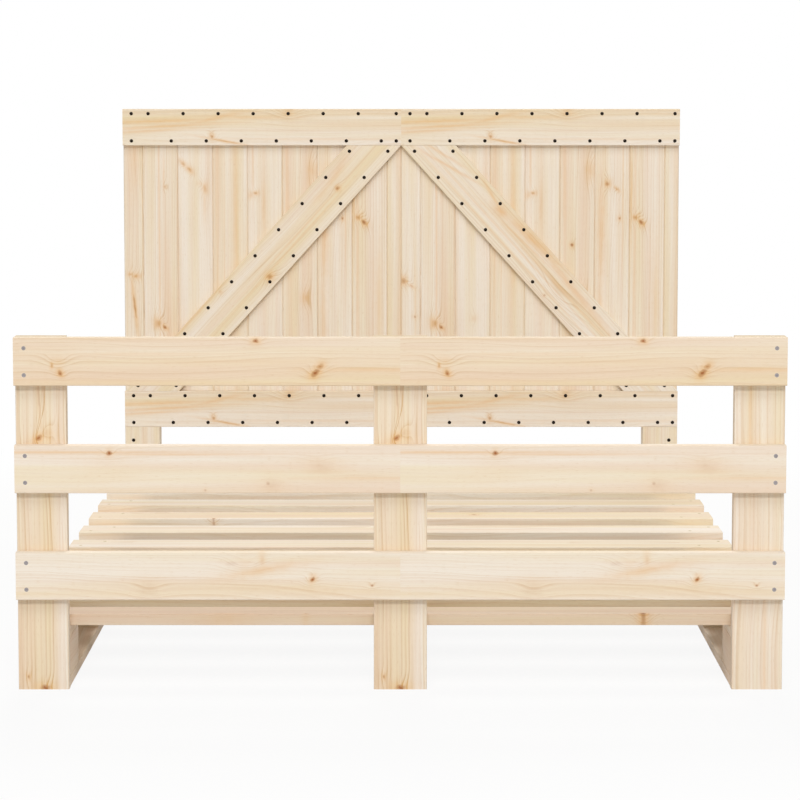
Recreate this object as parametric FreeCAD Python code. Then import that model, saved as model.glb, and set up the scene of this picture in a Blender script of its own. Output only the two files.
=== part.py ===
import FreeCAD, Part
import math
import os

# Pine bed frame: a slatted base built like a pallet, a railed footboard and a boarded headboard.
# Sizes are in millimetres. X runs across the bed, Y from the foot to the head, Z up from the floor.

# Whole bed
bed_width = 1455.0
base_length = 2005.0
arris_radius = 2.0
arris_limit_share = 0.2

# Footboard
foot_post_height = 676.0
foot_post_thickness = 24.0
side_post_width = 96.0
centre_post_width = 101.0
foot_rail_height = 91.0
foot_rail_thickness = 24.0
foot_rail_gap = 113.0
foot_rail_levels = ("top", "middle", "lower")
rail_screw_end_inset = 20.0
rail_screw_edge_inset = 20.0
rail_screw_seam_inset = 26.0

# Base: runners on the floor, blocks, stringers and slats
base_board_width = 96.0
runner_thickness = 20.0
block_height = 76.0
block_depth = 130.0
blocks_per_runner = 5
stringer_thickness = 20.0
slat_thickness = 22.0
slat_width = 99.5
end_slat_width = 71.0
slat_count = 11
slat_setback = 15.0
slat_end_clearance = 2.0
slat_screw_side_inset = 24.0
slat_screw_edge_inset = 24.0
block_screw_end_inset = 30.0

# Headboard: rails, braces and tongued boards, carried by legs
head_height = 1080.0
head_rail_height = 95.0
head_rail_thickness = 18.0
lower_head_rail_top = 339.5
brace_width = 106.0
board_thickness = 14.0
boards_per_panel = 9
first_board_width = 50.5
last_board_width = 37.2
tongue_length = 6.0
tongue_thickness = 4.0
tongue_clearance = 0.4
tongue_back_wall = 3.0
joint_bevel = 2.0
joint_depth = 3.0
leg_width = 91.0
leg_post_thickness = 24.0
leg_post_top_drop = 40.0

# Domed nails in the face of the headboard
nail_head_radius = 4.5
nail_head_rise = 1.7
nail_head_rim = 0.4
nail_shank_radius = 1.4
nail_tip_length = 3.0
nail_tongue_clearance = 0.5
rail_nail_edge_inset = 12.0
board_nail_near_inset = 16.5
board_nail_far_inset = 14.8
first_board_nail_inset = 23.0
last_board_nail_inset = 13.0
brace_nail_end_inset = 15.0
brace_nail_edge_inset = 15.8
brace_nail_rows = 10
leg_nail_first_drop = 35.0
leg_nail_pitch = 45.0
leg_nail_rows = 2
leg_nail_edge_inset = 22.0

# Wood screws with a hexagon socket
screw_head_radius = 4.0
screw_head_height = 3.5
screw_shank_radius = 2.0
screw_tip_length = 5.0
screw_socket_flats = 3.2
screw_socket_depth = 2.2
rail_screw_length = 42.0
base_screw_length = 40.0
leg_screw_length = 50.0
leg_screw_side_inset = 23.0
leg_screw_edge_inset = 24.0

# Bolts that hold the base between the two ends
bolt_shank_radius = 4.0
bolt_length = 148.0
bolt_head_flats = 13.0
bolt_head_height = 5.5
bolt_hole_clearance = 0.5
bolt_side_inset = 24.0
washer_radius = 11.0
washer_thickness = 1.6
counterbore_clearance = 1.0

# Places that follow from the sizes
half_width = bed_width / 2
head_thickness = head_rail_thickness + board_thickness + leg_post_thickness
overall_length = foot_rail_thickness + foot_post_thickness + base_length + head_thickness
foot_front = -overall_length / 2
post_front = foot_front + foot_rail_thickness
post_rear = post_front + foot_post_thickness
head_front = post_rear + base_length
board_front = head_front + head_rail_thickness
board_rear = board_front + board_thickness
tongue_rear = board_rear - tongue_back_wall
tongue_front = tongue_rear - tongue_thickness
nail_length = tongue_front - tongue_clearance - nail_tongue_clearance - head_front
head_rear = board_rear + leg_post_thickness
block_bottom = runner_thickness
block_top = block_bottom + block_height
slat_bottom = block_top + stringer_thickness
slat_top = slat_bottom + slat_thickness
top_head_rail_bottom = head_height - head_rail_height
lower_head_rail_bottom = lower_head_rail_top - head_rail_height
full_turn = 360.0
hexagon_sides = 6
overcut = 1.0
direction_tolerance = 0.001
across = FreeCAD.Vector(1, 0, 0)
towards_head = FreeCAD.Vector(0, 1, 0)
towards_foot = FreeCAD.Vector(0, -1, 0)
upwards = FreeCAD.Vector(0, 0, 1)
downwards = FreeCAD.Vector(0, 0, -1)
sides = {"left": -1, "centre": 0, "right": 1}


def cuboid(x, y, z):
    """A plain block between the low and high values given for each axis."""
    corner = FreeCAD.Vector(x[0], y[0], z[0])
    return Part.makeBox(x[1] - x[0], y[1] - y[0], z[1] - z[0], corner)


def span(middle, size):
    """The low and high values of a size laid out evenly about its middle."""
    return (middle - size / 2, middle + size / 2)


def eased(solid, grain, thickness):
    """Rounds the edges that run along the grain, as a planed board has them."""
    radius = min(arris_radius, thickness * arris_limit_share)
    long_edges = []
    for edge in solid.Edges:
        line = edge.Vertexes[-1].Point.sub(edge.Vertexes[0].Point)
        if line.Length > thickness and line.normalize().cross(grain).Length < direction_tolerance:
            long_edges.append(edge)
    return solid.makeFillet(radius, long_edges)


def plank(x, y, z, grain):
    """A planed board with eased long edges."""
    solid = cuboid(x, y, z)
    thickness = min(x[1] - x[0], y[1] - y[0], z[1] - z[0])
    return eased(solid, grain, thickness)


def turned(outline):
    """A solid of revolution about Z from edges in the XZ plane."""
    face = Part.Face(Part.Wire(outline))
    return face.revolve(FreeCAD.Vector(0, 0, 0), upwards, full_turn)


def lines(points):
    """Straight edges from each point to the next."""
    return [Part.LineSegment(a, b).toShape() for a, b in zip(points, points[1:])]


def hexagon(flats, depth):
    """A hexagonal prism that rises from the origin along Z."""
    radius = flats / math.sqrt(3)
    corners = []
    for step in range(hexagon_sides + 1):
        angle = math.radians(full_turn / hexagon_sides * step)
        corners.append(FreeCAD.Vector(radius * math.cos(angle), radius * math.sin(angle), 0))
    return Part.Face(Part.makePolygon(corners)).extrude(upwards * depth)


def make_screw(length):
    """A countersunk wood screw driven along +Z, with its head flush with the origin."""
    outline = lines([
        FreeCAD.Vector(0, 0, 0),
        FreeCAD.Vector(screw_head_radius, 0, 0),
        FreeCAD.Vector(screw_shank_radius, 0, screw_head_height),
        FreeCAD.Vector(screw_shank_radius, 0, length - screw_tip_length),
        FreeCAD.Vector(0, 0, length),
        FreeCAD.Vector(0, 0, 0),
    ])
    return turned(outline).cut(hexagon(screw_socket_flats, screw_socket_depth))


def make_nail():
    """A nail driven along +Z whose low dome stands on the face at the origin."""
    dome_rise = nail_head_rise - nail_head_rim
    dome_radius = (nail_head_radius ** 2 + dome_rise ** 2) / (2 * dome_rise)
    half_angle = math.asin(nail_head_radius / dome_radius) / 2
    crown = FreeCAD.Vector(0, 0, -nail_head_rise)
    shoulder_x = dome_radius * math.sin(half_angle)
    shoulder_z = -nail_head_rise + dome_radius * (1 - math.cos(half_angle))
    shoulder = FreeCAD.Vector(shoulder_x, 0, shoulder_z)
    rim = FreeCAD.Vector(nail_head_radius, 0, -nail_head_rim)
    dome = Part.Arc(crown, shoulder, rim).toShape()
    outline = lines([
        rim,
        FreeCAD.Vector(nail_head_radius, 0, 0),
        FreeCAD.Vector(nail_shank_radius, 0, 0),
        FreeCAD.Vector(nail_shank_radius, 0, nail_length - nail_tip_length),
        FreeCAD.Vector(0, 0, nail_length),
        crown,
    ])
    return turned([dome] + outline)


def make_bolt():
    """A hexagon bolt with its washer, driven along +Z, the washer's seat at the origin."""
    shank = Part.makeCylinder(bolt_shank_radius, bolt_length)
    washer = Part.makeCylinder(washer_radius, washer_thickness, downwards * washer_thickness)
    head = hexagon(bolt_head_flats, bolt_head_height)
    head.translate(downwards * (washer_thickness + bolt_head_height))
    return head.fuse([washer, shank]).removeSplitter()


def driven(fastener, point, direction):
    """A copy of a fastener placed at a point and turned to a driving direction."""
    copy = fastener.copy()
    copy.Placement = FreeCAD.Placement(point, FreeCAD.Rotation(upwards, direction))
    return copy


def drilled(wood, tools):
    """The wood with a hole for each tool that reaches it."""
    near = [tool for tool in tools if tool.BoundBox.intersect(wood.BoundBox)]
    if not near:
        return wood
    return wood.cut(near).Solids[0]


def runner_middle(side):
    """The middle of a runner across the bed, on the left, the centre or the right."""
    return sides[side] * (half_width - base_board_width / 2)


def foot_rail_span(level):
    """The bottom and top of one level of foot rails."""
    drop = foot_rail_levels.index(level) * (foot_rail_height + foot_rail_gap)
    top = foot_post_height - drop
    return (top - foot_rail_height, top)


def block_spans():
    """Where the blocks of one runner lie between the foot posts and the headboard."""
    pitch = (base_length - block_depth) / (blocks_per_runner - 1)
    spans = []
    for index in range(blocks_per_runner):
        start = post_rear + pitch * index
        spans.append((start, start + block_depth))
    return spans


def slat_spans():
    """Where the slats lie: a narrow one at each end, full ones between, all gaps alike."""
    full_count = slat_count - 2
    deck_length = base_length - slat_setback - slat_end_clearance
    gap = (deck_length - 2 * end_slat_width - full_count * slat_width) / (slat_count - 1)
    spans = []
    start = post_rear + slat_setback
    for index in range(slat_count):
        width = slat_width if 0 < index < slat_count - 1 else end_slat_width
        spans.append((start, start + width))
        start += width + gap
    return spans


def panel_joints(panel_left):
    """The joints between the upright boards of one headboard panel, from its left edge."""
    full_count = boards_per_panel - 2
    board_width = (half_width - first_board_width - last_board_width) / full_count
    joints = [panel_left, panel_left + first_board_width]
    for _ in range(full_count):
        joints.append(joints[-1] + board_width)
    joints.append(panel_left + half_width)
    return joints


def leg_middle(side):
    """The middle of a headboard leg across the bed."""
    return sides[side] * (half_width - leg_width / 2)


def brace_lean():
    """The brace's angle from upright, so that it fills its panel from corner to corner."""
    rise = top_head_rail_bottom - lower_head_rail_top
    diagonal = math.hypot(half_width, rise)
    return math.acos(brace_width / diagonal) - math.atan2(rise, half_width)


def foot_screws():
    """Screws at the outer ends of the foot rails, and from behind at the centre post."""
    screw = make_screw(rail_screw_length)
    placed = []
    for level in foot_rail_levels:
        bottom, top = foot_rail_span(level)
        for z in (bottom + rail_screw_edge_inset, top - rail_screw_edge_inset):
            for sign in (-1, 1):
                outer = FreeCAD.Vector(sign * (half_width - rail_screw_end_inset), foot_front, z)
                inner = FreeCAD.Vector(sign * rail_screw_seam_inset, post_rear, z)
                placed.append(driven(screw, outer, towards_head))
                placed.append(driven(screw, inner, towards_foot))
    return placed


def base_screws():
    """Screws that hold the slats to the stringers, and runners and stringers to the blocks."""
    screw = make_screw(base_screw_length)
    placed = []
    for side in sides:
        middle = runner_middle(side)
        reach = base_board_width / 2 - slat_screw_side_inset
        slats = slat_spans()
        for low, high in slats[1:-1]:
            slat_sides = (low + slat_screw_edge_inset, high - slat_screw_edge_inset)
            for x, y in zip((middle - reach, middle + reach), slat_sides):
                placed.append(driven(screw, FreeCAD.Vector(x, y, slat_top), downwards))
        for low, high in (slats[0], slats[-1]):
            seat = FreeCAD.Vector(middle + reach, (low + high) / 2, slat_top)
            placed.append(driven(screw, seat, downwards))
        for low, high in block_spans():
            for y in (low + block_screw_end_inset, high - block_screw_end_inset):
                placed.append(driven(screw, FreeCAD.Vector(middle, y, 0), upwards))
                placed.append(driven(screw, FreeCAD.Vector(middle, y, slat_bottom), downwards))
    return placed


def leg_screws():
    """Screws from behind that hold the headboard panels to the leg posts."""
    screw = make_screw(leg_screw_length)
    rails = (
        (lower_head_rail_bottom, lower_head_rail_top),
        (top_head_rail_bottom, head_height - leg_post_top_drop),
    )
    placed = []
    for side in sides:
        reach = leg_width / 2 - leg_screw_side_inset
        for bottom, top in rails:
            for sign in (-1, 1):
                x = leg_middle(side) + sign * reach
                z = (bottom + top) / 2 + sign * leg_screw_edge_inset / 2
                placed.append(driven(screw, FreeCAD.Vector(x, head_rear, z), towards_foot))
    return placed


def bolt_places():
    """Each bolt's seat and direction: through the first blocks, and from behind the legs."""
    height = (block_bottom + block_top) / 2
    sunk = bolt_head_height + washer_thickness + counterbore_clearance
    places = []
    for side in sides:
        for sign in (-1, 1):
            x = runner_middle(side) + sign * (base_board_width / 2 - bolt_side_inset)
            foot_seat = FreeCAD.Vector(x, post_rear + block_depth, height)
            head_seat = FreeCAD.Vector(x, head_rear - sunk, height)
            places.append((foot_seat, towards_foot))
            places.append((head_seat, towards_foot))
    return places


def bolt_bores():
    """Clearance holes round the bolts, from the seat to where the far piece begins."""
    radius = bolt_shank_radius + bolt_hole_clearance
    bores = []
    for seat, direction in bolt_places():
        end = post_rear if seat.y < 0 else head_front
        bores.append(Part.makeCylinder(radius, abs(seat.y - end), seat, direction))
    return bores


def counterbores():
    """Pockets in the back of the legs that hide the bolt heads and washers."""
    radius = washer_radius + counterbore_clearance
    pockets = []
    for seat, direction in bolt_places():
        if seat.y > 0:
            depth = head_rear - seat.y + overcut
            pockets.append(Part.makeCylinder(radius, depth, seat, direction * -1))
    return pockets


def panel_nails(panel_left):
    """Nails along the two rails of a panel: a zigzag, one near each edge of every board."""
    nail = make_nail()
    joints = panel_joints(panel_left)
    first = joints[0] + first_board_nail_inset
    last = joints[-1] - last_board_nail_inset
    near = [joint + board_nail_near_inset for joint in joints[1:-2]]
    far = [joint - board_nail_far_inset for joint in joints[2:-1]]
    placed = []
    for top in (head_height, lower_head_rail_top):
        upper = top - rail_nail_edge_inset
        lower = top - head_rail_height + rail_nail_edge_inset
        for x in [first] + near + [last]:
            placed.append(driven(nail, FreeCAD.Vector(x, head_front, upper), towards_head))
        for x in [first] + far + [last]:
            placed.append(driven(nail, FreeCAD.Vector(x, head_front, lower), towards_head))
    return placed


def brace_nails(sign):
    """Pairs of nails down one brace, which leans outwards from the middle of the bed."""
    nail = make_nail()
    lean = brace_lean()
    half_cut = brace_width / math.cos(lean) / 2
    pair_spacing = (brace_width - 2 * brace_nail_edge_inset) / math.cos(lean)
    rise = top_head_rail_bottom - lower_head_rail_top
    pitch = (rise - 2 * brace_nail_end_inset) / (brace_nail_rows - 1)
    placed = []
    for row in range(brace_nail_rows):
        drop = brace_nail_end_inset + pitch * row
        middle = half_cut + drop * math.tan(lean)
        for x in span(middle, pair_spacing):
            point = FreeCAD.Vector(sign * x, head_front, top_head_rail_bottom - drop)
            placed.append(driven(nail, point, towards_head))
    return placed


def leg_nails(side):
    """Nails down the face board of one leg, in a zigzag that starts near its outer edge."""
    nail = make_nail()
    start = sides[side] or -1
    placed = []
    for row in range(leg_nail_rows):
        sign = start if row % 2 == 0 else -start
        x = leg_middle(side) + sign * (leg_width / 2 - leg_nail_edge_inset)
        z = lower_head_rail_bottom - leg_nail_first_drop - leg_nail_pitch * row
        placed.append(driven(nail, FreeCAD.Vector(x, head_front, z), towards_head))
    return placed


def make_footboard(screws, bolts):
    """Three posts on the floor with three levels of rails across their fronts."""
    nodes = {}
    for side in sides:
        width = side_post_width if sides[side] else centre_post_width
        middle = sides[side] * (half_width - width / 2)
        post = plank(span(middle, width), (post_front, post_rear), (0, foot_post_height), upwards)
        nodes["foot_post_" + side] = drilled(post, screws + bolts)
    for level in foot_rail_levels:
        for side, x in (("left", (-half_width, 0)), ("right", (0, half_width))):
            rail = plank(x, (foot_front, post_front), foot_rail_span(level), across)
            nodes["foot_rail_" + level + "_" + side] = drilled(rail, screws)
    return nodes


def make_base(screws, bolts, bores):
    """Runners, blocks and stringers as on a pallet, with the slats across them."""
    nodes = {}
    long_way = (post_rear, head_front)
    base_blocks = []
    for side in sides:
        x = span(runner_middle(side), base_board_width)
        runner = plank(x, long_way, (0, runner_thickness), towards_head)
        stringer = plank(x, long_way, (block_top, slat_bottom), towards_head)
        nodes["runner_" + side] = drilled(runner, screws)
        nodes["stringer_" + side] = drilled(stringer, screws)
        for index, y in enumerate(block_spans()):
            spacer = plank(x, y, (block_bottom, block_top), towards_head)
            holes = bores if index == 0 else bolts
            base_blocks.append(drilled(spacer, screws + holes))
    nodes["base_blocks"] = Part.makeCompound(base_blocks)
    for index, y in enumerate(slat_spans()):
        slat = plank((-half_width, half_width), y, (slat_bottom, slat_top), across)
        nodes["slat_%02d" % (index + 1)] = drilled(slat, screws)
    return nodes


def make_board(left, right, grooved, tongued):
    """One upright board: bevelled front edges, a groove on its left, a tongue on its right."""
    tongue_y = (tongue_front, tongue_rear)
    outline = [
        (left, board_rear),
        (left, board_front + joint_depth),
        (left + joint_bevel, board_front),
        (right - joint_bevel, board_front),
        (right, board_front + joint_depth),
        (right, board_rear),
        (left, board_rear),
    ]
    corners = [FreeCAD.Vector(x, y, lower_head_rail_bottom) for x, y in outline]
    height = head_height - lower_head_rail_bottom
    board = Part.Face(Part.makePolygon(corners)).extrude(upwards * height)
    tall = (lower_head_rail_bottom, head_height)
    if grooved:
        slot_x = (left - overcut, left + tongue_length + tongue_clearance)
        slot_y = (tongue_y[0] - tongue_clearance, tongue_y[1] + tongue_clearance)
        slot_z = (tall[0] - overcut, tall[1] + overcut)
        board = board.cut(cuboid(slot_x, slot_y, slot_z))
    if tongued:
        board = board.fuse(cuboid((right, right + tongue_length), tongue_y, tall))
    return board.removeSplitter()


def make_brace(sign):
    """One diagonal brace in the plane of the rails, cut level at both ends."""
    lean = brace_lean()
    cut = brace_width / math.cos(lean)
    outline = [
        (0, top_head_rail_bottom),
        (cut, top_head_rail_bottom),
        (half_width, lower_head_rail_top),
        (half_width - cut, lower_head_rail_top),
        (0, top_head_rail_bottom),
    ]
    corners = [FreeCAD.Vector(sign * x, head_front, z) for x, z in outline]
    solid = Part.Face(Part.makePolygon(corners)).extrude(towards_head * head_rail_thickness)
    grain = FreeCAD.Vector(sign * math.sin(lean), 0, -math.cos(lean))
    return eased(solid, grain, head_rail_thickness)


def make_headboard(nails, screws):
    """Two boarded panels side by side, each with its rails and brace."""
    nodes = {}
    face_y = (head_front, board_front)
    rails = {
        "top": (top_head_rail_bottom, head_height),
        "lower": (lower_head_rail_bottom, lower_head_rail_top),
    }
    for side, panel_left in (("left", -half_width), ("right", 0)):
        for level, z in rails.items():
            rail = plank((panel_left, panel_left + half_width), face_y, z, across)
            nodes["head_rail_" + level + "_" + side] = drilled(rail, nails + screws)
        brace = make_brace(sides[side])
        nodes["head_brace_" + side] = drilled(brace, nails)
        joints = panel_joints(panel_left)
        for index in range(boards_per_panel):
            grooved = index > 0
            tongued = index < boards_per_panel - 1
            board = make_board(joints[index], joints[index + 1], grooved, tongued)
            name = "head_board_%s_%d" % (side, index + 1)
            nodes[name] = drilled(board, nails + screws)
    return nodes


def make_legs(nails, screws, bolts, bores):
    """Leg posts that stand on the floor behind the panels, with face boards below the rails."""
    nodes = {}
    faces = []
    for side in sides:
        x = span(leg_middle(side), leg_width)
        face = plank(x, (head_front, board_front), (0, lower_head_rail_bottom), upwards)
        faces.append(drilled(face, nails + bores))
        foot = cuboid(x, (board_front, head_rear), (0, lower_head_rail_bottom))
        upright = cuboid(x, (board_rear, head_rear), (0, head_height - leg_post_top_drop))
        post = eased(foot.fuse(upright).removeSplitter(), upwards, leg_post_thickness)
        nodes["leg_post_" + side] = drilled(post, nails + screws + bores + counterbores())
    nodes["leg_faces"] = Part.makeCompound(faces)
    return nodes


def make_bed():
    """Every node of the bed frame under its own name."""
    rail_screws = foot_screws()
    deck_screws = base_screws()
    panel_screws = leg_screws()
    bolts = [driven(make_bolt(), seat, direction) for seat, direction in bolt_places()]
    bores = bolt_bores()
    nails = panel_nails(-half_width) + panel_nails(0)
    nails += brace_nails(sides["left"]) + brace_nails(sides["right"])
    for side in sides:
        nails += leg_nails(side)
    nodes = make_footboard(rail_screws, bolts)
    nodes.update(make_base(deck_screws, bolts, bores))
    nodes.update(make_headboard(nails, panel_screws))
    nodes.update(make_legs(nails, panel_screws, bolts, bores))
    nodes["foot_rail_screws"] = Part.makeCompound(rail_screws)
    nodes["base_screws"] = Part.makeCompound(deck_screws)
    nodes["leg_screws"] = Part.makeCompound(panel_screws)
    nodes["frame_bolts"] = Part.makeCompound(bolts)
    nodes["face_nails"] = Part.makeCompound(nails)
    return nodes


os.makedirs("parts", exist_ok=True)
for name, shape in make_bed().items():
    shape.exportStep("parts/" + name + ".step")
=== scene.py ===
"""A pine bed frame with a boarded headboard: the finish of its wood and metal, and the studio round it."""

from collections import namedtuple
from math import radians

import bpy
from bpy.props import FloatProperty, FloatVectorProperty, PointerProperty
from bpy.types import Operator, Panel, PropertyGroup
from mathutils import Matrix, Vector


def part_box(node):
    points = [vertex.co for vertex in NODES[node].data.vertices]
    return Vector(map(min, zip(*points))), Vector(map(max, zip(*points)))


bl_info = {
    "name": "Boarded Pine Bed Frame",
    "version": (1, 0, 0),
    "blender": (4, 5, 0),
    "location": "3D View > Sidebar > Pine Bed",
    "description": "Gives every board of a slatted bed frame its own pine, and sets the bed in a studio",
    "category": "Object",
}

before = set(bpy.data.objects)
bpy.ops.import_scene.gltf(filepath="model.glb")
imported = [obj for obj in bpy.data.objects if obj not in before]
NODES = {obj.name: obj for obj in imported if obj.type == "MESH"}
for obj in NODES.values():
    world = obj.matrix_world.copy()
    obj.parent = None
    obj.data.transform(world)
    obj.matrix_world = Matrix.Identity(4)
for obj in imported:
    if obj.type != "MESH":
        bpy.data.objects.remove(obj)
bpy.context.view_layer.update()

MM = 0.001
# Points nearer than this are taken to lie in one plane.
TOUCHING = 0.1 * MM
X = Vector((1, 0, 0))
Y = Vector((0, 1, 0))
Z = Vector((0, 0, 1))

# Sides and levels, as the nodes are named
SIDES = ("left", "right")
POSTS = ("left", "centre", "right")
HEAD_BOARDS = range(1, 10)
SLATS = range(1, 12)


def tone(code):
    """The linear colour of a hexadecimal screen colour such as EFDFC7."""

    def channel(text):
        level = int(text, 16) / 255
        if level <= 0.04045:
            return level / 12.92
        return ((level + 0.055) / 1.055) ** 2.4

    return tuple(channel(code[at : at + 2]) for at in (0, 2, 4))


def opaque(colour):
    """A colour as a socket takes it, with full alpha."""
    return (*colour, 1.0)


# Settings that a user would change


def colour_setting(name, description, code):
    """A colour property with a screen colour as its default."""
    return FloatVectorProperty(
        name=name, description=description, default=tone(code), subtype="COLOR", size=3, min=0.0, max=1.0
    )


def length_setting(name, description, default):
    """A length property in metres."""
    return FloatProperty(name=name, description=description, default=default, unit="LENGTH", min=0.0)


def power_setting(name, description, default):
    """A lamp's power in watts."""
    return FloatProperty(name=name, description=description, default=default, unit="POWER", min=0.0)


def share_setting(name, description, default):
    """A property between nothing and all."""
    return FloatProperty(
        name=name, description=description, default=default, subtype="FACTOR", min=0.0, max=1.0
    )


class PineSettings(PropertyGroup):
    """Colours and sizes of the pine's figure"""

    pale: colour_setting("Pale wood", "Colour of the lightest sapwood", "F3EADD")
    straw: colour_setting("Straw wood", "Colour of the yellower bands", "ECDCB8")
    blush: colour_setting("Blush wood", "Colour of the pinker bands", "EAD2BB")
    latewood: colour_setting("Latewood", "Colour of the dense line that closes each year's ring", "CBA26A")
    honey: colour_setting("Honey", "Colour of the resin-rich wood beside a knot", "E3AE62")
    heart: colour_setting("Knot heart", "Colour in the middle of a knot", "9C5A2C")
    end: colour_setting("End grain", "Tint that sawn ends take", "D2BE9E")
    ring_width: length_setting("Ring width", "Growth of the tree in one year", 4.8 * MM)
    ring_contrast: share_setting("Ring contrast", "How plainly the rings show on a face", 0.38)
    roughness: share_setting("Roughness", "How matt the planed wood is", 0.62)
    relief: length_setting("Relief", "Depth of the raised grain", 0.25 * MM)


class MetalSettings(PropertyGroup):
    """Colours of the nails, screws and bolts"""

    nail: colour_setting("Nail black", "Colour of the domed nail heads", "1F140B")
    zinc: colour_setting("Zinc", "Colour of the rail screws", "ABA5A5")
    yellow_zinc: colour_setting("Yellow zinc", "Colour of the screws inside the base", "DCC79A")
    steel: colour_setting("Steel", "Colour of the frame bolts and washers", "A9A9AA")
    polish: share_setting("Metal roughness", "How dull the screws are", 0.38)


class StudioSettings(PropertyGroup):
    """Camera, floor and lamps"""

    lens: FloatProperty(name="Lens", description="Focal length", default=123.54, unit="CAMERA", min=1.0)
    distance: length_setting("Camera distance", "From the footboard's post fronts to the camera", 5.153)
    height: length_setting("Camera height", "Height of the camera above the floor", 1.1636)
    dip: FloatProperty(
        name="Camera dip",
        description="How far the camera looks down",
        default=radians(5.062),
        unit="ROTATION",
    )
    floor: colour_setting("Floor", "Colour of the studio floor", "DCDAD7")
    floor_glow: share_setting("Floor glow", "Share of plain white in the floor as seen by the camera", 0.90)
    ambient: share_setting("Ambient light", "Strength of the light from all round", 0.37)
    key: power_setting("Key lamp", "Light from the front", 1920.0)
    high: power_setting("High lamp", "Light from the front and high up", 1170.0)
    rear: power_setting("Rear lamp", "Light from behind the headboard and high up", 450.0)


# Shader building


class Graph:
    """Adds shader nodes to a tree. A value is either a number, a vector or another node's socket."""

    def __init__(self, tree):
        self.tree = tree

    def add(self, kind, values=None, **settings):
        """Adds one node, with its settings and the values of its sockets."""
        node = self.tree.nodes.new("ShaderNode" + kind)
        for name, value in settings.items():
            setattr(node, name, value)
        for key, value in (values or {}).items():
            self.feed(node.inputs[key], value)
        return node

    def feed(self, socket, value):
        """Links a socket to another, or sets its own value."""
        if isinstance(value, bpy.types.NodeSocket):
            self.tree.links.new(value, socket)
        else:
            socket.default_value = value

    def calc(self, operation, *values):
        """One step of arithmetic."""
        return self.add("Math", dict(enumerate(values)), operation=operation).outputs[0]

    def clamp(self, value):
        """The value kept between 0 and 1."""
        return self.add("Clamp", {"Value": value}).outputs[0]

    def ramp(self, value, low, high, start=0.0, end=1.0):
        """A smooth rise from start to end while the value goes from low to high."""
        values = {0: value, 1: low, 2: high, 3: start, 4: end}
        return self.add("MapRange", values, interpolation_type="SMOOTHSTEP").outputs[0]

    def vector(self, operation, *values):
        """One step of vector arithmetic that gives a vector."""
        return self.add("VectorMath", dict(enumerate(values)), operation=operation).outputs["Vector"]

    def measure(self, operation, *values):
        """One step of vector arithmetic that gives a number."""
        return self.add("VectorMath", dict(enumerate(values)), operation=operation).outputs["Value"]

    def combine(self, *parts):
        """A vector from its parts."""
        return self.add("CombineXYZ", dict(enumerate(parts))).outputs[0]

    def noise(self, place, detail=2.0):
        """Soft noise at a place, as its value and its colour."""
        node = self.add("TexNoise", {"Vector": place, "Scale": 1.0, "Detail": detail})
        return node.outputs["Fac"], node.outputs["Color"]

    def mix(self, factor, first, second):
        """A colour between two."""
        return self.add("Mix", {0: factor, 6: first, 7: second}, data_type="RGBA").outputs[2]


KINDS = {"number": "NodeSocketFloat", "vector": "NodeSocketVector", "colour": "NodeSocketColor"}


def new_group(name, inputs, outputs):
    """A node group with named sockets. Returns its graph, its inputs by name and its output node."""
    tree = bpy.data.node_groups.new(name, "ShaderNodeTree")
    for way, sockets in (("INPUT", inputs), ("OUTPUT", outputs)):
        for socket, kind in sockets.items():
            tree.interface.new_socket(socket, in_out=way, socket_type=KINDS[kind])
    graph = Graph(tree)
    entry = tree.nodes.new("NodeGroupInput")
    given = {socket: entry.outputs[socket] for socket in inputs}
    return graph, given, tree.nodes.new("NodeGroupOutput")


# What the marks on a board add up to
CARRIED = ("Bend", "Honey", "Flame", "Heart")


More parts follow.
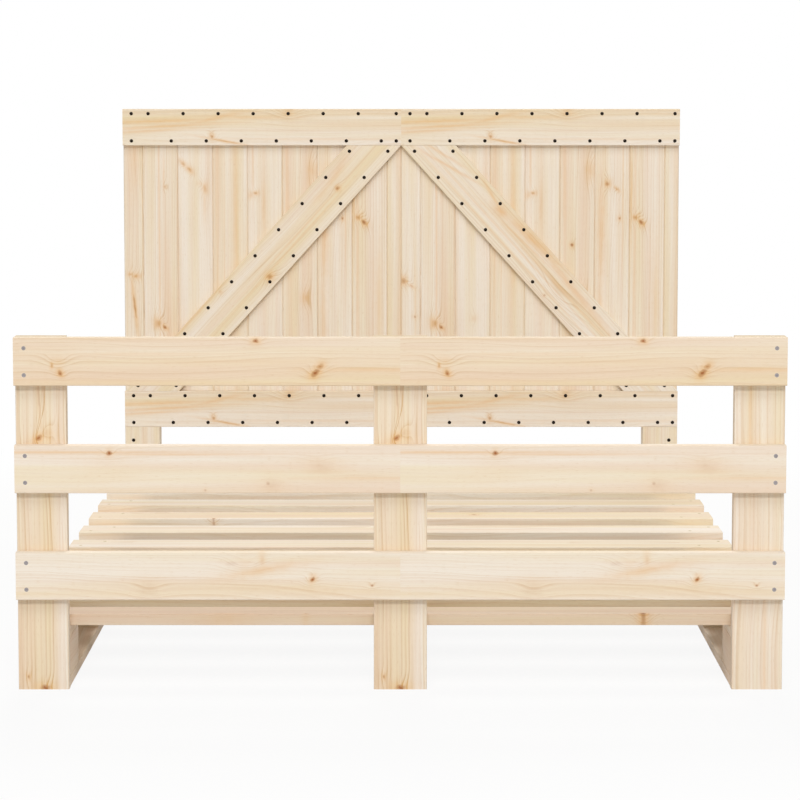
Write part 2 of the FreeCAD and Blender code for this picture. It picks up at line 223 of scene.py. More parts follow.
def make_knot_group():
    """A knot or stain in board space, which bends the rings, deepens their lines and adds a dark heart."""
    places = {"Place": "vector", "At": "vector"}
    sizes = dict.fromkeys(("Radius", "Stretch", "Tilt", "Heart", "Honey", "Flame", "Swirl"), "number")
    results = dict.fromkeys(CARRIED, "number")
    carried = {key + " so far": kind for key, kind in results.items()}
    graph, given, out = new_group("knot", {**places, **sizes, **carried}, results)
    ragged = graph.noise(graph.vector("MULTIPLY", given["Place"], (55.0, 90.0, 30.0)))[1]
    ragged = graph.vector("SUBTRACT", ragged, (0.5, 0.5, 0.5))
    offset = graph.vector("SUBTRACT", given["Place"], given["At"])
    parts = graph.add("SeparateXYZ", {0: offset}).outputs
    tilted = graph.calc("SUBTRACT", parts[1], graph.calc("MULTIPLY", parts[0], given["Tilt"]))
    along = graph.calc("DIVIDE", graph.calc("DIVIDE", parts[0], given["Radius"]), given["Stretch"])
    across = graph.calc("DIVIDE", tilted, given["Radius"])
    spot = graph.combine(along, across, 0.0)
    rough_spot = graph.vector("MULTIPLY_ADD", ragged, (1.3, 1.3, 0.0), spot)
    reach = graph.measure("LENGTH", rough_spot)
    # The rings part round the knot, over a longer stretch along the grain than across it.
    wide = graph.vector("MULTIPLY", spot, (0.30, 0.48, 0.0))
    hill = graph.calc("EXPONENT", graph.calc("MULTIPLY", graph.measure("DOT_PRODUCT", wide, wide), -1.0))
    # Resin stays close to the knot, deeper lines reach further out, and the heart has the branch's own rings.
    soft = graph.calc("EXPONENT", graph.calc("MULTIPLY", graph.calc("POWER", reach, 1.6), -0.42))
    glow = graph.calc("EXPONENT", graph.calc("MULTIPLY", graph.calc("POWER", reach, 1.5), -0.16))
    year = graph.calc("MULTIPLY_ADD", graph.calc("SINE", graph.calc("MULTIPLY", reach, 9.0)), 0.16, 0.84)
    heart = graph.calc("MULTIPLY", graph.ramp(reach, 1.2, 0.3), year)
    bend = graph.calc("MULTIPLY", graph.calc("MULTIPLY", hill, given["Radius"]), given["Swirl"])
    graph.feed(out.inputs["Bend"], graph.calc("ADD", given["Bend so far"], bend))
    for key, shape in (("Honey", soft), ("Flame", glow), ("Heart", heart)):
        strength = graph.calc("MULTIPLY", shape, given[key])
        graph.feed(out.inputs[key], graph.calc("MAXIMUM", given[key + " so far"], strength))


PINE_COLOURS = ("pale", "straw", "blush", "latewood", "honey", "heart", "end")
# How far a ring strays from a true circle, and the tree's middle from a straight line
RING_WAVER = 5 * MM
PITH_WANDER = 60 * MM
# Planed, unvarnished wood shines less than the shader's usual half.
PINE_SPECULAR = 0.25


def make_pine_group():
    """Pine as a solid: growth rings about the tree's middle, drifting tints, fibres and resin dashes."""
    numbers = ("Seed", "Ring width", "Pith across", "Pith below", "Wander", "Contrast", "Yellow", "Pink")
    numbers += (*CARRIED, "End grain")
    inputs = {"Place": "vector", **dict.fromkeys(numbers, "number"), **dict.fromkeys(PINE_COLOURS, "colour")}
    graph, given, out = new_group("pine", inputs, {"Colour": "colour", "Ring": "number", "Height": "number"})
    place, seed = given["Place"], given["Seed"]
    here = graph.add("SeparateXYZ", {0: place}).outputs
    apart = graph.calc("MULTIPLY", seed, 7.31)

    def stretched(along, across, shift):
        """Noise drawn out along the grain, at its own place for each board."""
        spot = graph.vector("MULTIPLY", place, (along, across, across))
        return graph.vector("ADD", spot, graph.combine(apart, graph.calc("ADD", apart, shift), shift))

    # The tree's middle wanders beside the board, which turns straight rings into arches on the face.
    sway = graph.noise(graph.combine(graph.calc("MULTIPLY", here[0], 1.5), apart, 0.0), 1.0)[1]
    sway = graph.add("SeparateColor", {0: sway}).outputs
    sideways = graph.calc("MULTIPLY", graph.calc("SUBTRACT", sway[0], 0.5), given["Wander"])
    inwards = graph.calc("MULTIPLY", graph.calc("SUBTRACT", sway[1], 0.5), given["Wander"])
    across = graph.calc("ADD", graph.calc("SUBTRACT", here[1], given["Pith across"]), sideways)
    below = graph.calc("ADD", graph.calc("ADD", here[2], given["Pith below"]), inwards)
    radius = graph.measure("LENGTH", graph.combine(across, below, 0.0))
    waver = graph.noise(stretched(6.0, 45.0, 3.0))[0]
    waver = graph.calc("MULTIPLY", graph.calc("SUBTRACT", waver, 0.5), RING_WAVER)
    radius = graph.calc("ADD", graph.calc("ADD", radius, waver), given["Bend"])
    years = graph.calc("DIVIDE", radius, given["Ring width"])
    # Lean years come in runs, and so do fat ones.
    lean_years = graph.add("TexNoise", {"W": graph.calc("MULTIPLY_ADD", years, 0.35, seed), "Scale": 1.0},
                           noise_dimensions="1D").outputs["Fac"]
    years = graph.calc("MULTIPLY_ADD", graph.calc("SUBTRACT", lean_years, 0.5), 3.0, years)
    season = graph.calc("FRACT", years)
    year = graph.calc("ADD", graph.calc("FLOOR", years), apart)
    vigour = graph.add("TexWhiteNoise", {"W": year}, noise_dimensions="1D").outputs["Value"]
    vigour = graph.calc("MULTIPLY_ADD", vigour, 0.8, 0.2)
    # A ring darkens slowly through its summer and ends at once.
    late = graph.calc("MULTIPLY", graph.calc("POWER", season, 2.4), graph.ramp(season, 1.0, 0.90))
    ring = graph.calc("MULTIPLY", late, vigour)

    drift = graph.noise(stretched(0.9, 26.0, 11.0), 3.0)[0]
    glow = graph.noise(stretched(1.3, 34.0, 23.0), 2.0)[0]
    streak = graph.noise(stretched(2.2, 210.0, 31.0), 2.0)[0]
    fibre = graph.noise(stretched(16.0, 480.0, 47.0), 3.0)[0]
    dash = graph.ramp(graph.noise(stretched(75.0, 1000.0, 59.0), 0.0)[0], 0.66, 0.80)

    yellow = graph.calc("MULTIPLY_ADD", graph.calc("SUBTRACT", drift, 0.5), 2.6, given["Yellow"])
    pink = graph.calc("MULTIPLY_ADD", graph.calc("SUBTRACT", glow, 0.5), 2.2, given["Pink"])
    colour = graph.mix(graph.clamp(yellow), given["pale"], given["straw"])
    colour = graph.mix(graph.clamp(pink), colour, given["blush"])
    # The lines stand out more near a knot.
    plain = graph.calc("MULTIPLY_ADD", graph.calc("SUBTRACT", streak, 0.5), 1.1, ring)
    strength = graph.calc("MULTIPLY", graph.calc("MULTIPLY_ADD", given["Flame"], 2.6, 1.0), given["Contrast"])
    lines = graph.clamp(graph.calc("MULTIPLY", plain, strength))
    colour = graph.mix(lines, colour, given["latewood"])
    colour = graph.mix(graph.calc("MULTIPLY", fibre, 0.12), colour, given["latewood"])
    colour = graph.mix(graph.calc("MULTIPLY", dash, 0.22), colour, given["latewood"])
    colour = graph.mix(graph.calc("MULTIPLY", given["Honey"], 0.72), colour, given["honey"])
    colour = graph.mix(given["Heart"], colour, given["heart"])
    # Sawn ends show the rings more plainly, and drink in more light.
    sawn = graph.mix(graph.calc("MULTIPLY", ring, 0.55), given["end"], given["latewood"])
    colour = graph.mix(graph.calc("MULTIPLY", given["End grain"], 0.75), colour, sawn)
    graph.feed(out.inputs["Colour"], colour)
    graph.feed(out.inputs["Ring"], ring)
    height = graph.calc("MULTIPLY_ADD", fibre, 0.6, graph.calc("MULTIPLY", ring, 0.4))
    graph.feed(out.inputs["Height"], height)


# A mark's place is in millimetres from the board's lowest corner, along the grain and across it.
Mark = namedtuple("Mark", "along across radius stretch tilt heart honey flame swirl")


def knot(along, across, radius, heart=0.9, honey=0.5, flame=0.8, swirl=3.5, stretch=1.15, tilt=0.0):
    """A knot, with the warm arches of the rings round it. The tilt is its rise across for each mm along."""
    return Mark(along, across, radius, stretch, tilt, heart, honey, flame, swirl)


def stain(along, across, length, width, honey=0.4, heart=0.0, tilt=0.0):
    """A resin stain or a darker streak, drawn out along the grain."""
    return Mark(along, across, width / 2, length / width, tilt, heart, honey, 0.0, 0.0)


Look = namedtuple("Look", "seed yellow pink pith contrast rings marks")


def look(seed, yellow=0.35, pink=0.25, pith=(-35, 30), contrast=1.0, rings=1.0, marks=()):
    """One board's wood. The pith, the tree's middle, lies so far across the board and below it, in mm."""
    return Look(seed, yellow, pink, pith, contrast, rings, marks)


def group_node(graph, name, values):
    """Adds a node group to a material's graph."""
    node = graph.add("Group", node_tree=bpy.data.node_groups[name])
    for key, value in values.items():
        graph.feed(node.inputs[key], value)
    return node


# Cells that give the solids of a shared node a seed each, in metres: one that holds a single block along the bed,
# and one that holds all solids, for a direction in which they don't differ
BLOCK_CELL = 0.45
OPEN_CELL = 9.0


def snap_seed(graph, place, spacing, seed):
    """A seed that differs from solid to solid, where equal solids at an even spacing share a node."""
    cell = graph.vector("SNAP", graph.vector("ADD", place, graph.combine(*[step / 2 for step in spacing])),
                        spacing)
    return graph.calc("ADD", graph.measure("DOT_PRODUCT", cell, (3.1, 5.7, 1.9)), float(seed))


def pine_material(name, along, across, wood, pine, spacing=None):
    """A board's own pine, with its grain along one direction of the frame and its face across another."""
    axes = Matrix((along, across, along.cross(across)))
    points = [vertex.co for vertex in NODES[name].data.vertices]
    corner = Vector([min(axis.dot(point) for point in points) for axis in axes])
    material = bpy.data.materials.new("pine_" + name)
    material.use_nodes = True
    graph = Graph(material.node_tree)
    shader = graph.tree.nodes["Principled BSDF"]
    coordinates = graph.add("TexCoord")
    place = graph.add("Mapping", {"Vector": coordinates.outputs["Object"], "Location": -corner,
                                  "Rotation": axes.to_euler()}).outputs[0]
    seed = float(wood.seed)
    if spacing:
        seed = snap_seed(graph, coordinates.outputs["Object"], spacing, wood.seed)
    carried = dict.fromkeys(CARRIED, 0.0)
    for mark in wood.marks:
        node = group_node(graph, "knot", {
            "Place": place, "At": (mark.along * MM, mark.across * MM, 0.0), "Radius": mark.radius * MM,
            "Stretch": mark.stretch, "Tilt": mark.tilt, "Heart": mark.heart, "Honey": mark.honey,
            "Flame": mark.flame, "Swirl": mark.swirl,
            **{key + " so far": value for key, value in carried.items()},
        })
        carried = {key: node.outputs[key] for key in CARRIED}
    facing = graph.calc("ABSOLUTE", graph.measure("DOT_PRODUCT", coordinates.outputs["Normal"], along))
    end_grain = graph.ramp(facing, 0.6, 0.9)
    values = {
        "Place": place, "Seed": seed, "Ring width": pine.ring_width * wood.rings,
        "Pith across": wood.pith[0] * MM, "Pith below": wood.pith[1] * MM, "Wander": PITH_WANDER,
        "Contrast": pine.ring_contrast * wood.contrast, "Yellow": wood.yellow, "Pink": wood.pink,
        "End grain": end_grain, **carried,
    }
    values.update({key: opaque(getattr(pine, key)) for key in PINE_COLOURS})
    solid = group_node(graph, "pine", values)
    graph.feed(shader.inputs["Base Color"], solid.outputs["Colour"])
    dull = graph.calc("MULTIPLY_ADD", solid.outputs["Ring"], -0.10, pine.roughness)
    dull = graph.calc("MULTIPLY_ADD", end_grain, 0.16, dull)
    graph.feed(shader.inputs["Roughness"], graph.clamp(dull))
    bump = graph.add("Bump", {"Strength": 0.5, "Distance": pine.relief, "Height": solid.outputs["Height"]})
    graph.feed(shader.inputs["Normal"], bump.outputs[0])
    shader.inputs["Specular IOR Level"].default_value = PINE_SPECULAR
    return material


PATCHES_PER_METRE = 900.0
PLATING_RELIEF = 0.05 * MM


def metal_material(name, colour, roughness, metallic, gloss=0.5):
    """A plated or blackened metal, with a faint unevenness in its colour and its shine."""
    material = bpy.data.materials.new(name)
    material.use_nodes = True
    graph = Graph(material.node_tree)
    shader = graph.tree.nodes["Principled BSDF"]
    place = graph.add("TexCoord").outputs["Object"]
    patches = graph.noise(graph.vector("MULTIPLY", place, (PATCHES_PER_METRE,) * 3), 3.0)[0]
    shade = tuple(part * 0.72 for part in colour)
    graph.feed(shader.inputs["Base Color"], graph.mix(graph.ramp(patches, 0.3, 0.7), opaque(shade),
                                                      opaque(colour)))
    graph.feed(shader.inputs["Roughness"], graph.ramp(patches, 0.25, 0.75, roughness * 0.8, roughness * 1.2))
    bump = graph.add("Bump", {"Strength": 0.3, "Distance": PLATING_RELIEF, "Height": patches})
    graph.feed(shader.inputs["Normal"], bump.outputs[0])
    shader.inputs["Metallic"].default_value = metallic
    shader.inputs["Specular IOR Level"].default_value = gloss
    return material


def paint(name, material):
    """Puts a material on every slot of a CAD node."""
    for slot in NODES[name].material_slots:
        slot.material = material


def shared_group(name, maker):
    """The node group of that name, made once."""
    if name not in bpy.data.node_groups:
        maker()


def dress(name, along, across, wood, pine, spacing=None):
    """Gives one node its own pine."""
    shared_group("knot", make_knot_group)
    shared_group("pine", make_pine_group)
    paint(name, pine_material(name, along, across, wood, pine, spacing))


# The wood of each board, with its knots where the bed shows them

FOOT_RAIL_LOOKS = {
    "top": look(3, yellow=0.84, pink=0.34, pith=(-45, 40), contrast=1.1, rings=1.2, marks=(
        knot(88, 24, 5.0, heart=0.80, honey=1.0, flame=0.8, swirl=1.6, stretch=0.9, tilt=-0.3),
        knot(84, 46, 8.0, heart=0.0, honey=0.30, flame=0.7, swirl=1.7),
        stain(73, 39, 5, 9, honey=0.8, heart=0.35),
        knot(456, 85, 4.6, heart=0.90, honey=0.8, flame=0.6, swirl=1.6),
        knot(568, 24, 6.5, heart=0.95, honey=1.0, flame=0.7, swirl=1.4, tilt=0.3),
        knot(576, 36, 6.0, heart=0.55, honey=0.9, flame=0.5, swirl=1.2, tilt=0.3),
        stain(660, 31, 150, 5, honey=0.5),
        stain(420, 46, 420, 22, honey=0.18),
        stain(250, 60, 300, 5, honey=0.25),
        stain(190, 8, 330, 9, honey=0.22),
    )),
    "middle": look(8, yellow=0.36, pink=0.26, pith=(-60, 25), contrast=0.5, marks=(
        knot(179, 76, 4.6, heart=0.95, honey=0.75, flame=0.9, swirl=1.8),
        knot(359, 6, 2.4, heart=0.30, honey=0.2, flame=0.3, swirl=1.0),
        knot(478, 19, 4.0, heart=0.34, honey=0.3, flame=0.3, swirl=1.2),
        stain(486, 16, 36, 26, honey=0.20, heart=0.09),
        knot(570, 56, 9, heart=0.0, honey=0.10, flame=0.25, swirl=1.0),
        stain(580, 50, 54, 26, honey=0.26, heart=0.07, tilt=-0.15),
        stain(640, 33, 110, 6, honey=0.20, heart=0.04),
        knot(175, 48, 26, heart=0.0, honey=0.14, flame=0.0, swirl=0.3, stretch=1.8),
        stain(80, 78, 230, 3, honey=0.65),
        stain(290, 74, 200, 2.5, honey=0.50),
        stain(660, 29, 160, 4, honey=0.35),
    )),
    "lower": look(14, yellow=0.08, pink=0.06, pith=(-30, 40), contrast=0.8, marks=(
        knot(250, 20, 8, heart=0.0, honey=0.15, flame=0.3, swirl=1.0, stretch=1.4),
        stain(248, 20, 50, 32, honey=0.18, heart=0.08),
        knot(433, 66, 11, heart=0.0, honey=0.20, flame=0.35, swirl=1.5),
        stain(408, 70, 24, 10, honey=0.10, heart=0.12),
        stain(465, 57, 84, 11, honey=0.62, tilt=0.18),
        stain(466, 77, 9, 24, honey=0.45, heart=0.06),
        knot(562, 40, 5.0, heart=1.0, honey=0.9, flame=0.9, swirl=2.0, stretch=0.9, tilt=0.4),
        knot(674, 28, 2.8, heart=0.65, honey=0.5, swirl=1.6),
        stain(600, 14, 260, 22, honey=0.22),
        stain(200, 12, 500, 16, honey=0.16),
    )),
}

POST_MARKS = (
    knot(483, 43, 6.0, heart=0.80, honey=1.0, flame=0.7, swirl=2.2, tilt=0.5),
    knot(492, 57, 8.0, heart=0.10, honey=0.45, flame=0.5, swirl=2.0, stretch=1.2),
    knot(3, 50, 11, heart=0.85, honey=0.7, flame=0.4, swirl=0.7, stretch=0.6),
    knot(24, 19, 2.6, heart=0.50, honey=0.6, swirl=1.6, stretch=1.8),
    stain(560, 45, 140, 4, honey=0.4, heart=0.22, tilt=-0.05),
    stain(565, 54, 160, 4, honey=0.3, heart=0.12, tilt=-0.05),
)
FOOT_POST_LOOKS = {
    "left": look(21, yellow=0.50, pink=0.30, pith=(-60, 50), contrast=2.3, rings=2.0, marks=POST_MARKS),
    "centre": look(21, yellow=0.50, pink=0.30, pith=(-60, 50), contrast=2.3, rings=2.0, marks=POST_MARKS),
    "right": look(27, yellow=0.44, pink=0.20, pith=(150, 60), contrast=1.4, rings=1.4, marks=(
        stain(520, 30, 200, 4, honey=0.4),
        stain(60, 62, 240, 4, honey=0.4),
    )),
}

# Both levels are cut alike; the lower one is painted paler, as painted light that offsets the shade the footboard
# casts on it.
HEAD_RAIL_YELLOW = {"top": 0.50, "lower": 0.26}
HEAD_RAIL_LOOK = look(33, pink=0.0, pith=(-12, 38), contrast=0.9, rings=1.1, marks=(
    knot(233, 24, 6.0, heart=0.42, honey=0.80, flame=0.8, swirl=1.8, stretch=0.7),
    knot(432, 84, 10, heart=0.08, honey=0.45, flame=0.5, swirl=1.6),
    stain(90, 63, 190, 7, honey=0.70, tilt=0.03),
    stain(110, 50, 210, 6, honey=0.70, tilt=0.06),
    stain(70, 38, 150, 5, honey=0.60, tilt=0.06),
    stain(235, 69, 90, 9, honey=0.65, tilt=0.22),
    stain(330, 73, 150, 6, honey=0.50),
    stain(268, 11, 66, 4, honey=0.95, heart=0.2, tilt=-0.18),
    stain(520, 16, 300, 4, honey=0.30),
))

BRACE_LOOKS = {
    "left": look(44, yellow=0.44, pink=0.06, pith=(-60, 30), contrast=0.8, marks=(
        knot(773, 58, 5.0, heart=0.62, honey=0.9, flame=0.8, swirl=2.0),
        knot(481, 80, 7.5, heart=0.42, honey=1.0, flame=0.9, swirl=2.0),
        knot(364, 12, 4.0, heart=0.10, honey=0.5, flame=0.6, swirl=1.4),
        stain(802, 29, 60, 14, honey=0.50, tilt=-0.14),
        stain(735, 38, 50, 12, honey=0.35),
        stain(270, 3, 150, 7, honey=0.50),
        stain(620, 60, 260, 4, honey=0.35),
        stain(580, 72, 300, 4, honey=0.35),
    )),
    "right": look(47, yellow=0.24, pink=0.0, pith=(190, 40), contrast=1.1, rings=1.8, marks=(
        knot(543, 90, 3.2, heart=0.40, honey=0.5, flame=0.7, swirl=1.8),
        knot(560, 70, 12, heart=0.0, honey=0.10, flame=0.5, swirl=2.0, stretch=2.2),
        stain(262, 18, 70, 6, honey=0.65, tilt=0.21),
        stain(302, 28, 34, 15, honey=0.90),
        stain(418, 17, 120, 18, honey=0.85, tilt=-0.07),
        stain(400, 38, 150, 5, honey=0.55, tilt=-0.07),
        stain(585, 25, 190, 13, honey=0.70, tilt=0.055),
        stain(580, 48, 300, 4, honey=0.45),
        stain(360, 62, 560, 3, honey=0.40),
        stain(330, 80, 600, 3, honey=0.35),
        stain(125, 50, 110, 5, honey=0.60, tilt=-0.33),
        stain(90, 40, 90, 5, honey=0.50, tilt=-0.30),
    )),
}

HEAD_BOARD_LOOKS = {
    1: look(51, yellow=0.32, pink=0.08, contrast=1.3, marks=(
        knot(397, 30, 6.0, heart=0.25, honey=0.95, flame=0.4, swirl=1.3, stretch=0.8),
        knot(402, 16, 5.0, heart=0.20, honey=0.7, flame=0.4, swirl=1.2, stretch=0.8),
        stain(316, 27, 80, 6, honey=1.0, heart=0.45, tilt=-0.10),
        stain(715, 30, 120, 20, honey=0.40),
    )),
    2: look(52, yellow=0.26, pink=0.12, contrast=1.0, pith=(-20, 30), marks=(
        knot(632, 58, 3.2, heart=0.20, honey=0.6, flame=0.6),
        stain(665, 55, 60, 4, honey=0.35),
        knot(263, 55, 5.0, heart=0.80, honey=1.0, flame=0.6, swirl=1.6, tilt=-0.4),
        knot(272, 38, 8.0, heart=0.24, honey=0.95, flame=0.8, swirl=1.6, stretch=1.3),
        stain(420, 42, 800, 3.5, honey=0.5),
        stain(270, 72, 160, 20, honey=0.25),
    )),
    3: look(53, yellow=0.06, pink=0.0, contrast=0.45, pith=(140, 30), marks=(
        knot(692, 15, 5, heart=0.20, honey=0.8, flame=0.9, swirl=1.6, tilt=-0.6),
        knot(677, 31, 5.5, heart=0.28, honey=0.9, flame=0.9, swirl=1.6, tilt=-0.6),
        knot(628, 71, 5, heart=0.12, honey=0.8, flame=0.8, swirl=1.6, stretch=2.0),
        knot(640, 60, 6, heart=0.0, honey=0.35, flame=0.8, swirl=1.4, stretch=0.8),
        stain(590, 70, 60, 6, honey=0.40),
        knot(286, 50, 5, heart=0.03, honey=0.3, flame=0.5, swirl=1.6),
    )),
    4: look(54, yellow=0.36, pink=0.10, contrast=0.6, marks=(
        stain(540, 61, 260, 9, honey=0.50),
        stain(430, 12, 700, 5, honey=0.30),
        stain(380, 30, 500, 3, honey=0.30),
    )),
    5: look(65, yellow=0.0, pink=0.0, pith=(130, 30), contrast=0.6, marks=(
        knot(615, 21, 5.5, heart=0.30, honey=0.9, flame=0.6, swirl=1.6, stretch=0.7),
        stain(610, 10, 14, 16, honey=0.45),
        stain(583, 42, 70, 7, honey=0.4, heart=0.05),
        stain(700, 14, 130, 5, honey=0.45),
    )),
    6: look(56, yellow=0.24, pink=0.32, contrast=0.8, pith=(-30, 20), marks=(
        knot(479, 32, 4.4, heart=0.85, honey=0.7, flame=0.5, swirl=1.4),
        knot(675, 80, 9, heart=0.02, honey=0.5, flame=0.7, swirl=2.0, stretch=1.8),
        knot(340, 57, 7, heart=0.03, honey=0.5, flame=0.9, swirl=2.2, stretch=1.6),
        stain(640, 12, 240, 8, honey=0.40),
        stain(250, 20, 260, 14, honey=0.25),
    )),
    7: look(57, yellow=0.12, pink=0.08, contrast=1.1, pith=(150, 25), marks=(
        knot(640, 33, 6, heart=0.50, honey=0.9, flame=1.0, swirl=2.4, stretch=1.3),
        knot(626, 58, 4.0, heart=0.20, honey=0.7, flame=0.9, swirl=1.8, tilt=-0.8),
        knot(549, 66, 3.4, heart=0.60, honey=0.7, flame=0.7, swirl=1.6),
        stain(620, 74, 220, 3, honey=0.45),
        stain(520, 18, 190, 14, honey=0.65),
        stain(266, 16, 160, 12, honey=0.50),
    )),
    8: look(58, yellow=0.22, pink=0.10, contrast=1.2, pith=(-10, 30), marks=(
        knot(538, 32, 6.0, heart=0.75, honey=1.0, flame=0.8, swirl=1.8, tilt=-0.4),
        knot(552, 15, 6.5, heart=0.32, honey=1.0, flame=0.8, swirl=1.6, stretch=0.9),
        stain(620, 5, 150, 4, honey=0.70),
        stain(430, 14, 800, 6, honey=0.40),
        stain(330, 68, 200, 16, honey=0.35),
    )),
    9: look(59, yellow=0.22, pink=0.10, contrast=1.0),
}
# The panel's first board on the right is cut from another plank than the one on the left.
RIGHT_FIRST_BOARD = look(57, yellow=0.16, pink=0.10, contrast=0.8, marks=(
    knot(384, 6, 6, heart=0.40, honey=0.9, flame=1.0, swirl=2.4, stretch=1.3),
    knot(371, 28, 4.0, heart=0.20, honey=0.7, flame=0.8, swirl=1.8, tilt=-0.8),
    knot(290, 36, 3.2, heart=0.45, honey=0.6, flame=0.7, swirl=1.6),
    stain(320, 37, 120, 3, honey=0.35),
))

SLAT_MARKS = {
    1: (stain(390, 4, 60, 9, honey=0.30), knot(546, 4, 2.8, heart=0.30, honey=0.4, swirl=1.2),
        knot(1194, 4, 5.5, heart=0.95, honey=0.9)),
    7: (knot(291, 4, 4.5, heart=0.9, flame=1.0, swirl=2.0), knot(900, 60, 7, heart=0.5)),
}


class WoodOperator:
    """What the operators that dress boards have in common: one look for each node."""

    bl_options = {"REGISTER", "UNDO"}

    def execute(self, context):
        for values in self.boards():
            dress(*values[:4], context.scene.bed_pine, *values[4:])
        return {"FINISHED"}


class BED_OT_foot_rails(WoodOperator, Operator):
    """Give the six rails of the footboard their pine"""

    bl_idname = "bed.foot_rails"
    bl_label = "Foot Rails"

    def boards(self):
        """Both halves of a level are cut alike, so they share a look."""
        for level, wood in FOOT_RAIL_LOOKS.items():
            for side in SIDES:
                yield f"foot_rail_{level}_{side}", X, Z, wood


class BED_OT_foot_posts(WoodOperator, Operator):
    """Give the three posts of the footboard their pine"""

    bl_idname = "bed.foot_posts"
    bl_label = "Foot Posts"

    def boards(self):
        """The grain of a post runs up."""
        for side, wood in FOOT_POST_LOOKS.items():
            yield f"foot_post_{side}", Z, X, wood


class BED_OT_base(WoodOperator, Operator):
    """Give the runners, stringers and blocks of the base their pine"""

    bl_idname = "bed.base"
    bl_label = "Base Frame"

    def boards(self):
        """Runners and stringers run from foot to head, and the blocks between them lie the same way."""
        for at, side in enumerate(POSTS):
            yield f"runner_{side}", Y, X, look(70 + at, yellow=0.14, pink=0.40, pith=(30, 40))
            yield f"stringer_{side}", Y, X, look(75 + at, yellow=0.35, pink=0.35, pith=(60, 30))
        low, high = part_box("base_blocks")
        across = (high.x - low.x) / (len(POSTS) - 1)
        spacing = (across / 2, BLOCK_CELL, OPEN_CELL)
        yield "base_blocks", Y, X, look(80, yellow=0.20, pink=0.60, pith=(40, 20)), spacing


class BED_OT_slats(WoodOperator, Operator):
    """Give the eleven slats their pine"""

    bl_idname = "bed.slats"
    bl_label = "Slats"

    def boards(self):
        """Slats differ a little in tint from one to the next."""
        for number in SLATS:
            yellow = 0.42 + 0.12 * ((number * 5) % 3 - 1)
            pink = 0.16 + 0.05 * ((number * 7) % 5 - 2)
            # The first slat is painted browner and pinker, as painted shade for the shade under the lower foot
            # rail.
            if number == 1:
                yellow, pink = 0.70, 0.85
            marks = SLAT_MARKS.get(number, ())
            wood = look(90 + number, yellow, pink, pith=(20 + 9 * number, 30), marks=marks)
            yield f"slat_{number:02d}", X, Y, wood


class BED_OT_head_rails(WoodOperator, Operator):
    """Give the headboard's rails and braces their pine"""

    bl_idname = "bed.head_rails"
    bl_label = "Headboard Rails and Braces"

    def boards(self):
        """A brace's grain runs along its edges."""
        for level, yellow in HEAD_RAIL_YELLOW.items():
            for side in SIDES:
                yield f"head_rail_{level}_{side}", X, Z, HEAD_RAIL_LOOK._replace(yellow=yellow)
        for side, climb in zip(SIDES, (1, -1)):
            low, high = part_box("head_brace_" + side)
            corners = [vertex.co for vertex in NODES["head_brace_" + side].data.vertices]
            top_edge = [corner.x for corner in corners if high.z - corner.z < TOUCHING]
            run = high.x - low.x - (max(top_edge) - min(top_edge))
            along = Vector((run, 0, climb * (high.z - low.z))).normalized()
            yield "head_brace_" + side, along, along.cross(Y) * -1, BRACE_LOOKS[side]


class BED_OT_head_boards(WoodOperator, Operator):
    """Give the tongued and grooved boards of the headboard their pine"""

    bl_idname = "bed.head_boards"
    bl_label = "Headboard Boards"

    def boards(self):
        """Both panels are cut alike but for their first boards."""
        for side in SIDES:
            for number in HEAD_BOARDS:
                wood = HEAD_BOARD_LOOKS[number]
                if side == "right" and number == 1:
                    wood = RIGHT_FIRST_BOARD
                yield f"head_board_{side}_{number}", Z, X, wood


class BED_OT_legs(WoodOperator, Operator):
    """Give the headboard's leg posts and leg faces their pine"""

    bl_idname = "bed.legs"
    bl_label = "Legs"

    def boards(self):
        """The three leg faces share a node, so their wood changes from leg to leg by place."""
        for at, side in enumerate(POSTS):
            yield f"leg_post_{side}", Z, X, look(110 + at, yellow=0.35, pink=0.25, pith=(60, 50))
        low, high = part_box("leg_faces")
        spacing = ((high.x - low.x) / len(POSTS), OPEN_CELL, OPEN_CELL)
        # The leg faces are painted paler, as painted light against the shade the footboard casts on them.
        yield "leg_faces", Z, X, look(115, yellow=0.34, pink=0.06, pith=(40, 30)), spacing


class BED_OT_fasteners(Operator):
    """Give the nails, screws and bolts their metal"""

    bl_idname = "bed.fasteners"
    bl_label = "Fasteners"
    bl_options = {"REGISTER", "UNDO"}

    def execute(self, context):
        metal = context.scene.bed_metal
        paint("face_nails", metal_material("nail_black", metal.nail, 0.5, 0.0, gloss=0.15))
        paint("foot_rail_screws", metal_material("zinc", metal.zinc, metal.polish, 0.85))
        paint("leg_screws", metal_material("leg_screw_zinc", metal.zinc, metal.polish, 0.85))
        paint("base_screws", metal_material("yellow_zinc", metal.yellow_zinc, 0.6, 0.3))
        paint("frame_bolts", metal_material("bolt_steel", metal.steel, metal.polish, 0.95))
        return {"FINISHED"}


# Studio

IMAGE_SIZE = 800
SENSOR_WIDTH = 36.0
# Where the line of sight meets the photograph, in pixels from its top left corner
SIGHT_PIXEL = Vector((403.5, 320.0))
SIGHT_X = 6 * MM
FLOOR_SIZE = 30.0
FLOOR_ROUGHNESS = 0.9
# How far from its middle the floor still shows the bed's shadow, and where it has turned to plain white
SHADOW_REACH = (1.4, 2.6)
# Each lamp's place, the point that it is aimed at, its width and its height
LAMPS = {
    "key": (Vector((0.6, -22.0, 11.8)), Vector((0.0, 0.0, 0.6)), 9.0, 3.2),
    "high": (Vector((-0.6, -12.6, 16.0)), Vector((0.0, 0.0, 0.5)), 9.0, 9.0),
    "rear": (Vector((0.0, 6.0, 8.5)), Vector((0.0, 0.0, 0.4)), 4.0, 4.0),
}


def seen_directly(graph):
    """1 for what the camera sees, directly, in a reflection or through glass."""
    path = graph.add("LightPath").outputs
    seen = graph.calc("MAXIMUM", path["Is Camera Ray"], path["Is Glossy Ray"])
    return graph.calc("MAXIMUM", seen, path["Is Transmission Ray"])


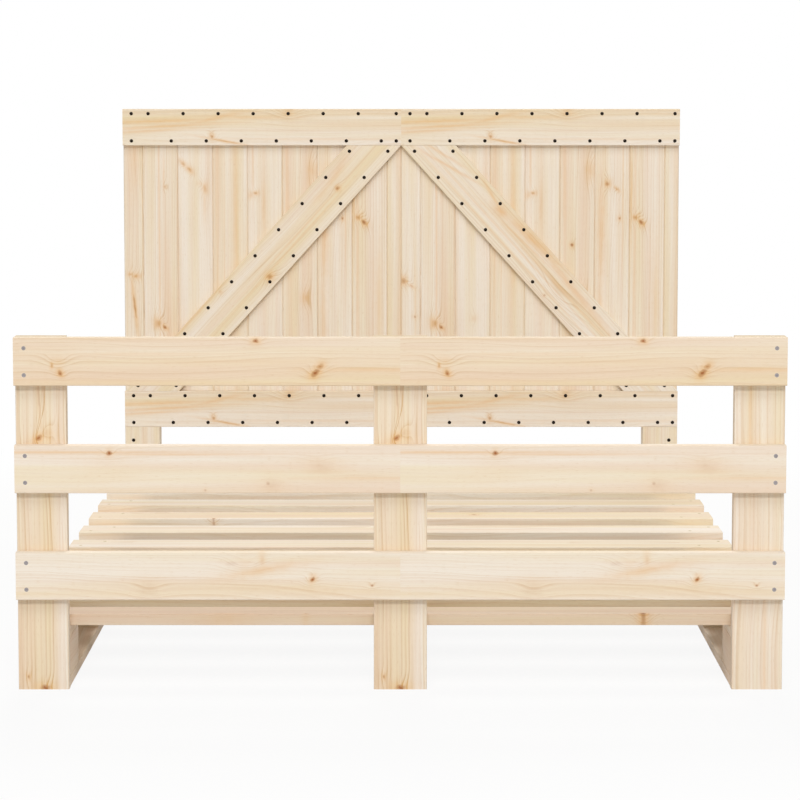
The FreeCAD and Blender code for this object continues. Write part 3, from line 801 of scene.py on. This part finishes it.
def add_camera(studio):
    """A camera that looks down a little, whose shift puts the bed where the photograph has it."""
    lens = bpy.data.cameras.new("camera")
    lens.lens = studio.lens
    lens.sensor_width = SENSOR_WIDTH
    middle = IMAGE_SIZE / 2
    lens.shift_x = (middle - SIGHT_PIXEL.x) / IMAGE_SIZE
    lens.shift_y = (SIGHT_PIXEL.y - middle) / IMAGE_SIZE
    camera = bpy.data.objects.new("camera", lens)
    post_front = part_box("foot_post_left")[0].y
    camera.location = (SIGHT_X, post_front - studio.distance, studio.height)
    camera.rotation_euler = (radians(90) - studio.dip, 0, 0)
    bpy.context.scene.collection.objects.link(camera)
    bpy.context.scene.camera = camera


def add_floor(studio):
    """A pale floor that keeps the bed's shadow, and is close to white where no shadow falls."""
    half = FLOOR_SIZE / 2
    mesh = bpy.data.meshes.new("floor")
    corners = [(-half, -half, 0), (half, -half, 0), (half, half, 0), (-half, half, 0)]
    mesh.from_pydata(corners, [], [(0, 1, 2, 3)])
    floor = bpy.data.objects.new("floor", mesh)
    bpy.context.scene.collection.objects.link(floor)
    material = bpy.data.materials.new("studio_floor")
    material.use_nodes = True
    graph = Graph(material.node_tree)
    matt = graph.tree.nodes["Principled BSDF"]
    matt.inputs["Base Color"].default_value = opaque(studio.floor)
    matt.inputs["Roughness"].default_value = FLOOR_ROUGHNESS
    white = graph.add("Emission", {"Color": (1, 1, 1, 1), "Strength": 1.0}).outputs[0]
    away = graph.measure("LENGTH", graph.add("TexCoord").outputs["Object"])
    glow = graph.ramp(away, SHADOW_REACH[0], SHADOW_REACH[1], studio.floor_glow, 1.0)
    share = graph.calc("MULTIPLY", seen_directly(graph), glow)
    mixed = graph.add("MixShader", {0: share, 1: matt.outputs[0], 2: white}).outputs[0]
    graph.feed(graph.tree.nodes["Material Output"].inputs["Surface"], mixed)
    mesh.materials.append(material)


def add_world(studio):
    """White to the eye, and a dimmer light from all round for the bed."""
    world = bpy.data.worlds.new("studio")
    world.use_nodes = True
    graph = Graph(world.node_tree)
    background = graph.tree.nodes["Background"]
    background.inputs["Color"].default_value = (1, 1, 1, 1)
    strength = graph.calc("MULTIPLY_ADD", seen_directly(graph), 1 - studio.ambient, studio.ambient)
    graph.feed(background.inputs["Strength"], strength)
    bpy.context.scene.world = world


def add_lamp(name, power):
    """One oblong soft light, aimed at its point of the bed."""
    place, aim, width, height = LAMPS[name]
    lamp = bpy.data.lights.new(name + "_lamp", "AREA")
    lamp.shape = "RECTANGLE"
    lamp.size = width
    lamp.size_y = height
    lamp.energy = power
    light = bpy.data.objects.new(name + "_lamp", lamp)
    light.location = place
    light.rotation_euler = (place - aim).to_track_quat("Z", "Y").to_euler()
    bpy.context.scene.collection.objects.link(light)


class BED_OT_studio(Operator):
    """Set up the floor, the lamps and the camera"""

    bl_idname = "bed.studio"
    bl_label = "Studio"
    bl_options = {"REGISTER", "UNDO"}

    def execute(self, context):
        studio = context.scene.bed_studio
        context.scene.view_settings.view_transform = "Standard"
        add_world(studio)
        add_floor(studio)
        for name in LAMPS:
            add_lamp(name, getattr(studio, name))
        add_camera(studio)
        return {"FINISHED"}


class BED_PT_panel(Panel):
    """Lists the steps and the settings of the bed"""

    bl_idname = "BED_PT_panel"
    bl_label = "Pine Bed"
    bl_space_type = "VIEW_3D"
    bl_region_type = "UI"
    bl_category = "Pine Bed"

    def draw(self, context):
        for operator in OPERATORS:
            self.layout.operator(operator.bl_idname)
        for name in SETTINGS:
            group = getattr(context.scene, name)
            for key in group.__annotations__:
                self.layout.prop(group, key)


OPERATORS = (
    BED_OT_foot_rails,
    BED_OT_foot_posts,
    BED_OT_base,
    BED_OT_slats,
    BED_OT_head_rails,
    BED_OT_head_boards,
    BED_OT_legs,
    BED_OT_fasteners,
    BED_OT_studio,
)
SETTINGS = {"bed_pine": PineSettings, "bed_metal": MetalSettings, "bed_studio": StudioSettings}


def register():
    """Registers the classes and adds the settings to the scene."""
    for kind in (*SETTINGS.values(), *OPERATORS, BED_PT_panel):
        bpy.utils.register_class(kind)
    for name, kind in SETTINGS.items():
        setattr(bpy.types.Scene, name, PointerProperty(type=kind))


def unregister():
    """Takes the settings and the classes away again."""
    for name in SETTINGS:
        delattr(bpy.types.Scene, name)
    for kind in reversed((*SETTINGS.values(), *OPERATORS, BED_PT_panel)):
        bpy.utils.unregister_class(kind)


def run(operator):
    """Calls one operator by its name."""
    group, name = operator.bl_idname.split(".")
    getattr(getattr(bpy.ops, group), name)()


def main():
    """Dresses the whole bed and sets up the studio."""
    register()
    for operator in OPERATORS:
        run(operator)


if __name__ == "__main__":
    main()
